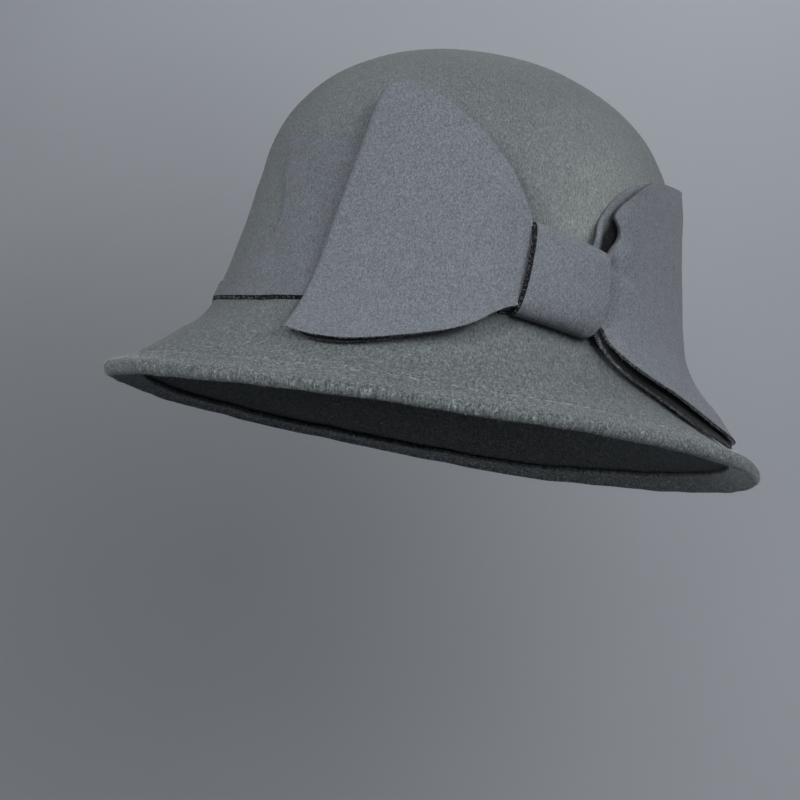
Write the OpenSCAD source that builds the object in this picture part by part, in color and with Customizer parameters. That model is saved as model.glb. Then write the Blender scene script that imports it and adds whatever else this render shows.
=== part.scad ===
// Soft felt bowler with a sloping hemmed brim, a felt band and a large flat felt bow.
// Millimetres, +Z up, the front of the hat faces -Y, the bow sits front left of the wearer (+X).
// The hat stands on its brim: the lowest points of the hem, front and back, are at z = 0.
// Every shape is drawn in hat coordinates: r (half width across the hat), z (height) and
// a (angle from the front towards +X). The hat is an oval, longer from front to back.

/* [Felt body] */
// thickness of the blocked felt
felt_t = 2.0; // [1.8:0.1:2.2]
// how much longer the half length is than the half width, at the brim
oval = 15; // [12:1:18]
// drop of the brim at front and back, and rise at the sides
saddle = 2.0; // [0:0.5:3]
// half width of the brim at the centre of its rolled edge
brim_r = 122.6; // [120:0.2:126]

/* [Hem] */
// height of the turned-under hem's raw edge, on the brim's slope
hem_z = 12.6; // [11.6:0.2:13.6]
// thickness of the brim wire
wire_d = 1.0; // [0.8:0.1:1.0]
// radius of the hollow that the wire lies in
wire_hollow_r = 0.8; // [0.75:0.05:0.9]
// gap between the hem and the brim, away from the wire
hem_gap = 0.25; // [0.2:0.05:0.4]

/* [Trim felt] */
// thickness of the band, the loops and the knot
trim_t = 2.0; // [1.6:0.1:2.0]
// gap between the band and the crown
band_gap = 0.25; // [0.2:0.05:0.3]

/* [Bow] */
// angle of the knot's centre, from the front towards the wearer's left
knot_a = 49.5; // [46:0.5:53]

/* [Sweatband] */
// lowest edge of the sweatband
sweat_z0 = 38; // [37:0.5:42]
// height of the sweatband
sweat_h = 28; // [22:1:30]
// thickness of the sweatband's ribbon
sweat_t = 0.8; // [0.6:0.1:1.0]

/* [Stitches] */
// thickness of the sewing thread
thread_d = 0.5; // [0.4:0.05:0.6]
// stitches round the hem
hem_stitches = 100; // [80:4:112]
// stitches round the sweatband
sweat_stitches = 72; // [60:4:80]

/* [Hidden] */

n_az = 72;                              // steps round the hat
crown_r = 88;                           // half width where the brim leaves the crown
edge_r = felt_t + wire_hollow_r;        // radius of the brim's rolled edge
edge_z = edge_r + saddle;               // height of the edge's centre
edge_n = [sin(21), cos(21)];            // up off the brim, at its edge
edge_d = [cos(21), -sin(21)];           // out along the brim, at its edge
edge_e = [brim_r, edge_z] + edge_r * edge_n;   // where the brim's top meets the rolled edge
deg_mm = 1.72;                          // millimetres of cloth to one degree, round the bow

// outer face of the felt, height and half width, from the brim's edge to the crown's top
outer = [[edge_e[1], edge_e[0]], [10, 116], [14, 108.6], [19, 101.5], [26, 95], [33, 90.6], [40, 88], [50, 85.6],
         [62, 83.2], [76, 80.6], [90, 78.4], [100, 76.8], [108, 74.4], [116, 70.6], [124, 65.2], [131, 58.4],
         [137, 50.2], [142, 40.6], [146, 29.4], [148.6, 17], [149.4, 8], [149.6, 0]];
// the surface that the bow lies on: it bridges the hollow between crown and brim
base = [[4, 123.5], [10, 116.2], [16, 108.5], [22, 102.2], [28, 97], [34, 92.6], [40, 89.2], [46, 86.9],
        [56, 84.4], [70, 81.7], [85, 79.2], [100, 77], [110, 75.2], [118, 73.2], [126, 70.6]];

// ---- curves through control points -------------------------------------------------------
function seg(t, x, i = 0) = i >= len(t) - 2 || x <= t[i + 1][0] ? i : seg(t, x, i + 1);
function slope(t, i) =
    let (p = max(i - 1, 0), q = min(i + 1, len(t) - 1)) (t[q][1] - t[p][1]) / (t[q][0] - t[p][0]);
function curve(t, x) =
    let (i = seg(t, x), h = t[i + 1][0] - t[i][0], u = (x - t[i][0]) / h)
    (2 * u * u * u - 3 * u * u + 1) * t[i][1] + (u * u * u - 2 * u * u + u) * h * slope(t, i)
    + (3 * u * u - 2 * u * u * u) * t[i + 1][1] + (u * u * u - u * u) * h * slope(t, i + 1);
function mix(a, b, u) = a + (b - a) * u;
function clamp(x, lo, hi) = min(max(x, lo), hi);

// ---- hat coordinates ----------------------------------------------------------------------
function half_len(r) = r <= crown_r ? r * (1 + oval / crown_r) : r + oval;
function at(r, z, a) = [r * sin(a), -half_len(r) * cos(a),
                        z - saddle * cos(2 * a) * clamp((r - 90) / (brim_r - 90), 0, 1)];
function felt(z) = curve(outer, z);
function felt_m(z) = (felt(z + 0.05) - felt(z - 0.05)) / 0.1;
function felt_n(z) = let (m = felt_m(max(z, edge_e[1] + 0.06))) [1, -m] / sqrt(1 + m * m);
function lining(z) = felt(z) - felt_t * sqrt(1 + pow(felt_m(z), 2));

// ---- solids from grids of points ----------------------------------------------------------
// a sheet between two grids of points, closed into a ring over its rows where wrap is true
module sheet(A, B, wrap = false) {
    n = len(A);
    m = len(A[0]);
    pts = concat([for (row = A) each row], [for (row = B) each row]);
    o = n * m;
    function ia(i, j) = (i % n) * m + j;
    function ib(i, j) = o + (i % n) * m + j;
    ni = wrap ? n : n - 1;
    faces = concat(
        [for (i = [0:ni - 1], j = [0:m - 2]) each [
            [ia(i, j), ia(i + 1, j), ia(i + 1, j + 1)], [ia(i, j), ia(i + 1, j + 1), ia(i, j + 1)],
            [ib(i, j), ib(i + 1, j + 1), ib(i + 1, j)], [ib(i, j), ib(i, j + 1), ib(i + 1, j + 1)]]],
        [for (i = [0:ni - 1]) each [
            [ia(i, 0), ib(i, 0), ib(i + 1, 0)], [ia(i, 0), ib(i + 1, 0), ia(i + 1, 0)],
            [ia(i, m - 1), ib(i + 1, m - 1), ib(i, m - 1)], [ia(i, m - 1), ia(i + 1, m - 1), ib(i + 1, m - 1)]]],
        wrap ? [] : [for (j = [0:m - 2]) each [
            [ia(0, j), ib(0, j + 1), ib(0, j)], [ia(0, j), ia(0, j + 1), ib(0, j + 1)],
            [ia(n - 1, j), ib(n - 1, j), ib(n - 1, j + 1)], [ia(n - 1, j), ib(n - 1, j + 1), ia(n - 1, j + 1)]]]);
    polyhedron(points = pts, faces = faces, convexity = 10);
}
// a profile of [r, z] points that starts and ends on the axis, carried round the oval
module carried_round(prof) {
    m = len(prof);
    rings = [for (k = [1:m - 2], i = [0:n_az - 1]) at(prof[k][0], prof[k][1], 360 * i / n_az)];
    pts = concat([at(0, prof[0][1], 0), at(0, prof[m - 1][1], 0)], rings);
    function v(k, i) = 2 + k * n_az + i % n_az;
    faces = concat(
        [for (i = [0:n_az - 1]) [0, v(0, i + 1), v(0, i)]],
        [for (k = [0:m - 4], i = [0:n_az - 1]) each [
            [v(k, i), v(k + 1, i + 1), v(k + 1, i)], [v(k, i), v(k, i + 1), v(k + 1, i + 1)]]],
        [for (i = [0:n_az - 1]) [1, v(m - 3, i), v(m - 3, i + 1)]]);
    polyhedron(points = pts, faces = faces, convexity = 10);
}
// a straight piece of thread from p to q
module thread(p, q) {
    d = q - p;
    l = norm(d);
    translate(p) rotate([0, acos(d[2] / l), atan2(d[1], d[0])]) cylinder(h = l, d = thread_d);
}

// ---- the felt body: crown, brim and turned-under hem in one piece --------------------------
hem_rows = [edge_e[1], 8.6, 10, 11.4, hem_z];
function hem_space(z) = hem_gap + (2 * wire_hollow_r - hem_gap) * pow((hem_z - z) / (hem_z - edge_e[1]), 2);
function hem_pt(z, d) = [felt(z), z] - felt_n(z) * d;
function on_edge(rad, b) = [brim_r, edge_z] + rad * (cos(b) * edge_n + sin(b) * edge_d);
n_out = len(outer);
body_prof = concat(
    [for (i = [n_out - 1:-1:0]) [outer[i][1], outer[i][0]]],
    [for (b = [23, 46, 69, 92, 115, 137, 159]) on_edge(edge_r, b)],
    [for (z = hem_rows) hem_pt(z, 2 * felt_t + hem_space(z))],
    [for (k = [len(hem_rows) - 1:-1:0]) hem_pt(hem_rows[k], felt_t + hem_space(hem_rows[k]))],
    [for (b = [145, 110, 70, 35]) on_edge(wire_hollow_r, b)],
    [for (i = [0:n_out - 3]) let (z = outer[i][0]) [felt(z), z] - felt_n(z) * felt_t],
    [[8, outer[n_out - 2][0] - felt_t], [0, outer[n_out - 1][0] - felt_t]]);
module felt_body() color([0.40, 0.43, 0.43]) carried_round(body_prof);

// ---- the wire in the hem's fold, and the sleeve that joins its ends at the back -------------
function wire_pt(rad, a, b) = at(brim_r, edge_z, a) + rad * (cos(b) * [sin(a), -cos(a), 0] + [0, 0, sin(b)]);
module brim_wire() color([0.62, 0.62, 0.60]) {
    stations = [for (k = [0:96]) 180.8 + 358.4 * k / 96];
    ring = [for (a = stations) [for (b = [0:60:300]) wire_pt(wire_d / 2, a, b)]];
    n = len(ring);
    polyhedron(points = [for (r = ring) each r], convexity = 6,
        faces = concat(
            [for (i = [0:n - 2], j = [0:5]) each [
                [i * 6 + j, i * 6 + (j + 1) % 6, (i + 1) * 6 + (j + 1) % 6],
                [i * 6 + j, (i + 1) * 6 + (j + 1) % 6, (i + 1) * 6 + j]]],
            [[5, 4, 3, 2, 1, 0], [for (j = [0:5]) (n - 1) * 6 + j]]));
}
module wire_joiner() color([0.70, 0.66, 0.50]) sheet(
    [for (b = [0:30:330]) [for (a = [177:1:183]) wire_pt(wire_d / 2 + 0.16, a, b)]],
    [for (b = [0:30:330]) [for (a = [177:1:183]) wire_pt(wire_d / 2 + 0.04, a, b)]], true);

// ---- stitches: one short thread each, lying on the cloth ------------------------------------
function on_brim(z, a) = let (p = hem_pt(z, -thread_d / 2 - 0.1)) at(p[0], p[1], a);
module hem_stitching() color([0.72, 0.73, 0.72])
    for (i = [0:hem_stitches - 1]) let (a = 360 * i / hem_stitches)
        thread(on_brim(hem_z - 0.6, a), on_brim(hem_z - 0.6, a + 360 / hem_stitches * 0.58));

// ---- the band: its front end widens into a fan with a hollow-cut edge ------------------------
// bottom angle, bottom height, top angle, top height
fan = [[-60, 36, -60, 44.5], [-52, 36, -52, 44.2], [-44.5, 36, -44.5, 44.2], [-39, 36, -39.3, 48.3],
       [-33, 36.1, -33.4, 55.6], [-28.5, 36.3, -29.4, 62.4], [-24.5, 36.5, -28.2, 67.5], [-20, 37, -28.8, 73],
       [-16.5, 37.2, -31.2, 80.5], [-13, 37.4, -35.2, 94.5], [-10, 37.6, -37.9, 101.6], [-6, 37.9, -30, 100.8],
       [0, 38.4, -20, 99.8], [7, 39, -6, 98.4], [13, 39.6, 5, 97], [20, 40.6, 16, 94], [27, 41.6, 25, 86],
       [33, 42.5, 32, 72], [38, 43, 38, 58], [44, 43, 44, 52], [54, 42, 54, 51], [64, 40, 64, 48.5],
       [72, 38.6, 72, 47.2], [80, 37.6, 80, 46.2], [87, 37, 87, 45.5], [95, 36.5, 95, 45], [102, 36.2, 102, 44.7],
       [110, 36, 110, 44.5]];
function fan_at(x) = [for (c = [0:3]) curve([for (i = [0:len(fan) - 1]) [i, fan[i][c]]], x)];
band_rows = concat([for (i = [0:0.5:len(fan) - 1]) fan_at(i)], [for (a = [115:5:295]) [a, 36, a, 44.5]]);
function band_pt(row, u, h) = let (z = mix(row[1], row[3], u)) at(felt(z) + h, z, mix(row[0], row[2], u));
module hat_band() color([0.44, 0.46, 0.49]) sheet(
    [for (row = band_rows) [for (j = [0:6]) band_pt(row, j / 6, band_gap)]],
    [for (row = band_rows) [for (j = [0:6]) band_pt(row, j / 6, band_gap + trim_t)]], true);
module band_tacks() color([0.30, 0.31, 0.33])
    for (a = [125:25:275]) let (h = band_gap + trim_t + thread_d / 2)
        thread(at(felt(41.4) + h, 41.4, a), at(felt(43.8) + h, 43.8, a));

// ---- the bow: two folded loops held by a knot -------------------------------------------------
// Each loop is one strip: under layer, fold, front layer. u runs from the knot (0) to the fold (1).
// Entries: side, top edge and bottom edge of the front layer, top edge and bottom edge of the under layer,
// angle to the fold at the bottom and the top, standoff of the front face (middle, extra at the bottom, extra at
// the top), standoff of the under layer's back (middle, extra at the bottom), how fast the extra at the bottom
// fades on the front and the under layer, and the curl of the front layer's top edge away from the knot.
front_top = [[0, 70.4], [.165, 70.8], [.185, 71.6], [.2, 77.5], [.215, 80.5], [.235, 83.8], [.27, 89], [.33, 96.3],
     [.39, 101.8], [.46, 107.5], [.54, 112], [.64, 115.8], [.75, 119], [.87, 121.2], [.96, 121.8], [1, 121.6]];
front_loop = [-1, front_top,
    [[0, 47.6], [.165, 47.2], [.19, 46], [.24, 44], [.29, 41], [.34, 37.2], [.41, 33.5], [.48, 31], [.56, 28.6],
     [.67, 25.6], [.77, 23.7], [.86, 23.2], [.93, 23.8], [1, 25]],
    front_top,
    [[0, 47.6], [.165, 47.2], [.19, 46], [.24, 43.8], [.29, 40.5], [.34, 36.4], [.41, 32.3], [.48, 29.4], [.56, 26.8],
     [.67, 23.7], [.77, 21.6], [.86, 21], [.93, 21.9], [1, 25]],
    60, 52,
    [[0, 8.9], [.16, 8.9], [.2, 8.9], [.3, 9.2], [.5, 8.6], [.75, 8.2], [1, 8.4]],
    [[0, 0], [.2, 0], [.35, -1], [.6, -3.4], [1, -4.2]], [[0, 0], [.2, 0], [.6, .5], [1, 2]],
    [[0, 4.7], [.19, 4.7], [.3, 3.6], [.5, 2.8], [1, 2.8]], [[0, 0], [.2, 0], [.35, -1.2], [.6, -4], [1, -4.5]],
    4, 9, [[0, 0], [1, 0]]];
rear_loop = [1,
    [[0, 67.6], [.17, 67.8], [.2, 68.2], [.215, 76], [.235, 84.5], [.26, 90], [.3, 94], [.37, 98.6], [.45, 102],
     [.52, 104], [.62, 105.3], [.72, 106], [.9, 107], [1, 107.3]],
    [[0, 44.6], [.2, 44.4], [.235, 44], [.26, 41.4], [.3, 37.8], [.36, 34], [.43, 30.9], [.51, 28.4], [.62, 26],
     [.72, 23], [.81, 19.6], [.89, 16.6], [1, 13]],
    [[0, 67.6], [.155, 67.8], [.17, 69.5], [.182, 76], [.206, 83], [.242, 89], [.29, 94], [.36, 98.6], [.45, 102],
     [.52, 104], [.62, 105.3], [.72, 106], [.9, 107], [1, 107.3]],
    [[0, 44.6], [.15, 44.4], [.18, 42], [.21, 38.6], [.26, 34.6], [.32, 31], [.4, 27.4], [.5, 24.2], [.62, 21],
     [.72, 18.4], [.81, 16], [.89, 14.2], [1, 12.6]],
    46.5, 49.5,
    [[0, 8.9], [.17, 8.9], [.2, 8.9], [.245, 9], [.3, 9.4], [.4, 8.8], [.6, 7.2], [.8, 6.2], [1, 5.8]],
    [[0, 0], [.25, 0], [.5, 0], [.8, -.6], [1, -1]], [[0, 0], [.2, 0], [.6, 0], [1, .3]],
    [[0, 4.7], [.172, 4.7], [.21, 3.6], [.3, 2.9], [.5, 2.6], [.8, 2.3], [1, 2.3]], [[0, 0], [.2, 0], [.5, -1.8], [1, -1.8]],
    3, 6, [[0, 0], [.195, 0], [.21, 2.4], [.222, 5.2], [.232, 4.4], [.245, 1.4], [.26, .2], [.29, .5], [.36, .4], [.46, 0], [1, 0]]];
// steps along each layer: close together where the cloth spreads out of the knot
loop_u = [.02, .09, .145, .165, .185, .2, .212, .224, .24, .265, .3, .36, .43, .51, .6, .7, .8, .88, .95, 1];
fold_steps = 6;
function front_h(L, u, t) =
    curve(L[7], u) + curve(L[8], u) * pow(1 - t, L[12]) + curve(L[9], u) * pow(t, 3) - trim_t / 2;
function under_h(L, u, t) = curve(L[10], u) + curve(L[11], u) * pow(1 - t, L[13]) + trim_t / 2;
// the strip's middle line at one height t: [distance from the knot, standoff, u, 0 under layer .. 1 front layer]
function strip(L, t) =
    let (hf = front_h(L, 1, t), hb = under_h(L, 1, t), rad = (hf - hb) / 2, mid = (hf + hb) / 2,
         qc = deg_mm * mix(L[5], L[6], t) - rad - trim_t / 2)
    concat(
        [for (u = loop_u) [u * qc, under_h(L, u, t), u, 0]],
        [for (i = [1:fold_steps - 1]) let (b = 180 * i / fold_steps)
            [qc + rad * sin(b), mid - rad * cos(b), 1, i / fold_steps]],
        [for (i = [len(loop_u) - 1:-1:0]) let (u = loop_u[i]) [u * qc, front_h(L, u, t), u, 1]]);
function loop_z(L, u, f, t) = mix(mix(curve(L[4], u), curve(L[2], u), f), mix(curve(L[3], u), curve(L[1], u), f), t);
function ease(x) = let (c = clamp(x, 0, 1)) c * c * (3 - 2 * c);
function loop_row(L, t, side) =
    let (s = strip(L, t), n = len(s))
    [for (i = [0:n - 1])
        let (p = s[max(i - 1, 0)], q = s[min(i + 1, n - 1)], d = [q[0] - p[0], q[1] - p[1]] / norm([q[0] - p[0], q[1] - p[1]]),
             curl = curve(L[14], s[i][2]) * s[i][3] * ease((t - 0.55) / 0.45),
             x = s[i][0] + curl + side * d[1] * trim_t / 2, h = s[i][1] - side * d[0] * trim_t / 2,
             z = loop_z(L, s[i][2], s[i][3], t))
        at(curve(base, z) + h, z, knot_a + L[0] * x / deg_mm)];
loop_rows = 10;
module bow_loop(L) sheet(
    [for (k = [0:loop_rows]) loop_row(L, k / loop_rows, -L[0])],
    [for (k = [0:loop_rows]) loop_row(L, k / loop_rows, L[0])]);
module bow_front_loop() color([0.46, 0.48, 0.51]) bow_loop(front_loop);
module bow_rear_loop() color([0.45, 0.47, 0.50]) bow_loop(rear_loop);

// the knot: a strip wrapped round the middle of both loops. It rolls over softly at its top and bottom, and its
// rear edge draws in towards the back and the bottom.
function signed_pow(x, e) = sign(x) * pow(abs(x), e);
function knot_pt(v, b, inset) =
    let (e = cos(b) < 0 ? 0.35 : sin(b) < 0 ? 0.8 : 0.62,
         z0 = mix(42, 39, v) + inset, z1 = mix(77.3, 72.6, v) - inset, h0 = 2.4 + inset, h1 = 12.2 + sin(180 * v) - inset,
         h = mix(h0, h1, (1 + signed_pow(cos(b), e)) / 2), z = mix(z0, z1, (1 + signed_pow(sin(b), e)) / 2),
         reach = 10.2 - 3 * (1 - (h - 2.4) / 9.8) - 1.8 * pow(clamp((60 - z) / 20, 0, 1), 1.5))
    at(curve(base, z) + h, z, knot_a + mix(-9.4, reach, v));
module bow_knot() color([0.47, 0.48, 0.51]) sheet(
    [for (b = [0:10:350]) [for (k = [0:8]) knot_pt(k / 8, b, 0)]],
    [for (b = [0:10:350]) [for (k = [0:8]) knot_pt(k / 8, b, trim_t)]], true);
// the threads that hold the bow show inside the crown
module bow_tacks() color([0.30, 0.31, 0.33])
    for (k = [-2:2]) let (z = 71, a = knot_a + 4 * k, r = lining(z) - thread_d / 2 - 0.05)
        thread(at(r, z, a - 1.1), at(r, z, a + 1.1));

// ---- the sweatband: a ribbon inside the head opening --------------------------------------------
function sweat_pt(u, h, a) = let (z = sweat_z0 + sweat_h * u) at(lining(z) - 0.3 - h, z, a);
module sweatband() color([0.24, 0.25, 0.26]) sheet(
    [for (i = [0:n_az - 1]) [for (j = [0:3]) sweat_pt(j / 3, sweat_t, 360 * i / n_az)]],
    [for (i = [0:n_az - 1]) [for (j = [0:3]) sweat_pt(j / 3, 0, 360 * i / n_az)]], true);
module sweatband_stitching() color([0.35, 0.36, 0.38])
    for (i = [0:sweat_stitches - 1]) let (a = 360 * i / sweat_stitches, u = 0.08, h = sweat_t + thread_d / 2 + 0.08)
        thread(sweat_pt(u, h, a), sweat_pt(u, h, a + 360 / sweat_stitches * 0.6));

felt_body();
brim_wire();
wire_joiner();
hem_stitching();
hat_band();
band_tacks();
bow_front_loop();
bow_rear_loop();
bow_knot();
bow_tacks();
sweatband();
sweatband_stitching();
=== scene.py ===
import math
import bpy
import numpy as np
from mathutils import Matrix, Vector


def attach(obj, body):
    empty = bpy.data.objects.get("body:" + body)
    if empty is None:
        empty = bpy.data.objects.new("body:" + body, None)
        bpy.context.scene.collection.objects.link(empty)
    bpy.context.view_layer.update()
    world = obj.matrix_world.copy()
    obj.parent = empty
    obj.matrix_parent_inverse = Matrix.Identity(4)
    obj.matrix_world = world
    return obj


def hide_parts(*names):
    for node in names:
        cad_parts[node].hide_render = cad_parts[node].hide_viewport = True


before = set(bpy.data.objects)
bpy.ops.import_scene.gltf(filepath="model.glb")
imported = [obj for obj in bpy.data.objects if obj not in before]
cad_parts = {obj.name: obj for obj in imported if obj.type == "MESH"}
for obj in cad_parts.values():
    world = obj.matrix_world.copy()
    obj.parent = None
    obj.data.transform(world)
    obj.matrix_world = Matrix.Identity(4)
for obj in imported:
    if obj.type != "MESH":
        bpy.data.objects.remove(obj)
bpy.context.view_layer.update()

RNG = np.random.default_rng(7)

# =====================================================================================================
# Shape, in millimetres and hat coordinates: r half width, z height, a degrees from the front towards +X
# =====================================================================================================
FELT_T, TRIM_T = 2.0, 2.0
OVAL, CROWN_R, SADDLE = 15.0, 88.0, 2.0
BRIM_R, HOLLOW_R = 122.6, 0.8
EDGE_R = FELT_T + HOLLOW_R
EDGE_Z = EDGE_R + SADDLE
S21, C21 = math.sin(math.radians(21)), math.cos(math.radians(21))
EDGE_N, EDGE_D = np.array([S21, C21]), np.array([C21, -S21])
EDGE_E = np.array([BRIM_R, EDGE_Z]) + EDGE_R * EDGE_N
HEM_Z, HEM_GAP = 12.6, 0.25
BAND_GAP = 0.25
KNOT_A, DEG_MM = 49.5, 1.72

OUTER = [(EDGE_E[1], EDGE_E[0]), (10, 116), (14, 108.6), (19, 101.5), (26, 95), (33, 90.6), (40, 88), (50, 85.6),
         (62, 83.2), (76, 80.6), (90, 78.4), (100, 76.8), (108, 74.4), (116, 70.6), (124, 65.2), (131, 58.4),
         (137, 50.2), (142, 40.6), (146, 29.4), (148.6, 17), (149.4, 8), (149.6, 0)]
BASE = [(4, 123.5), (10, 116.2), (16, 108.5), (22, 102.2), (28, 97), (34, 92.6), (40, 89.2), (46, 86.9),
        (56, 84.4), (70, 81.7), (85, 79.2), (100, 77), (110, 75.2), (118, 73.2), (126, 70.6)]


def curve(t, x):
    t = np.asarray(t, float)
    X, Y = t[:, 0], t[:, 1]
    x = np.asarray(x, float)
    m = np.empty(len(X))
    m[1:-1] = (Y[2:] - Y[:-2]) / (X[2:] - X[:-2])
    m[0], m[-1] = (Y[1] - Y[0]) / (X[1] - X[0]), (Y[-1] - Y[-2]) / (X[-1] - X[-2])
    i = np.clip(np.searchsorted(X, x) - 1, 0, len(X) - 2)
    h = X[i + 1] - X[i]
    u = (x - X[i]) / h
    return ((2 * u**3 - 3 * u**2 + 1) * Y[i] + (u**3 - 2 * u**2 + u) * h * m[i]
            + (3 * u**2 - 2 * u**3) * Y[i + 1] + (u**3 - u**2) * h * m[i + 1])


def felt(z):
    return curve(OUTER, z)


def felt_m(z):
    z = np.maximum(z, EDGE_E[1] + 0.06)
    return (felt(z + 0.05) - felt(z - 0.05)) / 0.1


def felt_n(z):
    m = felt_m(z)
    k = np.sqrt(1 + m * m)
    return np.stack([1 / k, -m / k], -1)


def lining(z):
    return felt(z) - FELT_T * np.sqrt(1 + felt_m(z)**2)


def at(r, z, a):
    r, z, a = np.broadcast_arrays(np.asarray(r, float), np.asarray(z, float), np.radians(np.asarray(a, float)))
    half = np.where(r <= CROWN_R, r * (1 + OVAL / CROWN_R), r + OVAL)
    w = np.clip((r - 90) / (BRIM_R - 90), 0, 1)
    return np.stack([r * np.sin(a), -half * np.cos(a), z - SADDLE * np.cos(2 * a) * w], -1)


def ease(x):
    x = np.clip(x, 0, 1)
    return x * x * (3 - 2 * x)


WAVES = [(RNG.normal(size=3), RNG.uniform(0, 2 * math.pi)) for _ in range(26)]
WAVES = [(2 * math.pi / (9.0 + 0.5 * i) * d / np.linalg.norm(d), p) for i, (d, p) in enumerate(WAVES)]


def hand(P):
    """The small unevenness of a hand-blocked hat, the same for every piece, so that nothing parts or cuts in."""
    P = np.asarray(P, float)
    x, y, z = P[..., 0], P[..., 1], P[..., 2]
    a = np.arctan2(x, -y)
    rad = np.hypot(x, y)
    out = ease((rad - 95) / 35.0) * ease((40 - z) / 30.0)
    dz = out * (0.30 + 0.40 * np.sin(3 * a + 0.6) + 0.26 * np.sin(5 * a + 2.1) + 0.16 * np.sin(9 * a + 0.3) + 0.14 * np.sin(14 * a + 4)
                + 0.09 * np.sin(31 * a + 1.0) + 0.07 * np.sin(47 * a + 2.0))
    for mid, deep in ((2.23, 2.2), (-1.75, 1.5)):                 # the brim hangs a little lower behind both sides
        dz = dz - out * deep * np.exp(-((np.mod(a - mid + math.pi, 2 * math.pi) - math.pi) / 0.45) ** 2)
    side = np.exp(-((np.mod(a + 1.19 + math.pi, 2 * math.pi) - math.pi) / 0.75) ** 2)
    swell = 2.5 * side * np.exp(-((z - 19.5) / 9.0) ** 2) * ease((rad - 84) / 10.0)        # the brim is straighter there
    dz = dz + swell
    up = ease((z - 40) / 60.0)
    dr = up * (0.45 * np.sin(2 * a + 1.0) + 0.3 * np.sin(3 * a + z / 24.0) + 0.2 * np.sin(5 * a - z / 15.0))
    dr = dr + swell + 0.022 * sum(np.sin(P @ k + p) for k, p in WAVES)
    k = dr / np.maximum(rad, 30.0)
    return np.stack([x * (1 + k), y * (1 + k), z + dz], -1)


# =====================================================================================================
# Meshes
# =====================================================================================================
def new_object(name, verts, faces, mats, kinds=None):
    me = bpy.data.meshes.new(name)
    me.from_pydata([tuple(v) for v in np.asarray(verts) * 0.001], [], faces)
    me.polygons.foreach_set("use_smooth", [True] * len(me.polygons))
    for m in mats if isinstance(mats, (list, tuple)) else [mats]:
        me.materials.append(m)
    if kinds is not None:
        me.polygons.foreach_set("material_index", kinds)
    me.update()
    ob = bpy.data.objects.new(name, me)
    bpy.context.scene.collection.objects.link(ob)
    return ob


def fix_normals(ob):
    import bmesh
    bm = bmesh.new()
    bm.from_mesh(ob.data)
    bmesh.ops.recalc_face_normals(bm, faces=bm.faces)
    bm.to_mesh(ob.data)
    bm.free()
    ob.data.polygons.foreach_set("use_smooth", [True] * len(ob.data.polygons))


def sheet_mesh(A, B, wrap=False, cut=(1, 1, 1, 1)):
    """Closed sheet between two grids of points; rows wrap into a ring where asked. The four cut edges, at the
    first and last column and the first and last row, are marked for the cut-edge material."""
    A, B = np.asarray(A, float), np.asarray(B, float)
    n, m = A.shape[:2]
    V = np.concatenate([A.reshape(-1, 3), B.reshape(-1, 3)])
    o = n * m
    F, K = [], []
    ni = n if wrap else n - 1
    for i in range(ni):
        k = (i + 1) % n
        for j in range(m - 1):
            F.append((i * m + j, k * m + j, k * m + j + 1, i * m + j + 1))
            F.append((o + i * m + j, o + i * m + j + 1, o + k * m + j + 1, o + k * m + j))
            K += [0, 0]
        F.append((i * m, o + i * m, o + k * m, k * m))
        F.append((i * m + m - 1, k * m + m - 1, o + k * m + m - 1, o + i * m + m - 1))
        K += [cut[0], cut[1]]
    if not wrap:
        for j in range(m - 1):
            F.append((j, j + 1, o + j + 1, o + j))
            q = (n - 1) * m
            F.append((q + j, o + q + j, o + q + j + 1, q + j + 1))
            K += [cut[2], cut[3]]
    return V, F, K


def tubes(paths, radius, seg=6):
    """Threads: each path of points becomes a closed tube with rounded ends."""
    V, F = [], []
    for P in paths:
        P = np.asarray(P, float)
        n = len(P)
        T = np.gradient(P, axis=0)
        T /= np.linalg.norm(T, axis=1)[:, None]
        ref = np.array([0.0, 0, 1.0]) if abs(T[0][2]) < 0.9 else np.array([1.0, 0, 0])
        base = len(V)
        for i in range(n):
            s = np.cross(T[i], ref)
            s /= np.linalg.norm(s)
            u = np.cross(s, T[i])
            r = radius * (0.62 if i in (0, n - 1) else 1.0)
            for k in range(seg):
                b = 2 * math.pi * k / seg
                V.append(P[i] + r * (math.cos(b) * s + math.sin(b) * u))
        for i in range(n - 1):
            for k in range(seg):
                k2 = (k + 1) % seg
                F.append((base + i * seg + k, base + i * seg + k2, base + (i + 1) * seg + k2, base + (i + 1) * seg + k))
        F.append(tuple(base + k for k in range(seg))[::-1])
        F.append(tuple(base + (n - 1) * seg + k for k in range(seg)))
    return np.array(V), F


def bevel(ob, width, segments=3, angle=50):
    md = ob.modifiers.new("edge", "BEVEL")
    md.width = width
    md.segments = segments
    md.limit_method = "ANGLE"
    md.angle_limit = math.radians(angle)
    md.use_clamp_overlap = True
    return md


def apply_all(ob):
    dg = bpy.context.evaluated_depsgraph_get()
    me = bpy.data.meshes.new_from_object(ob.evaluated_get(dg))
    ob.modifiers.clear()
    old = ob.data
    ob.data = me
    bpy.data.meshes.remove(old)
    ob.data.polygons.foreach_set("use_smooth", [True] * len(ob.data.polygons))


# =====================================================================================================
# Materials
# =====================================================================================================
def srgb(r, g, b):
    def f(c):
        c /= 255.0
        return c / 12.92 if c <= 0.04045 else ((c + 0.055) / 1.055) ** 2.4
    return (f(r), f(g), f(b), 1.0)


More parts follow.
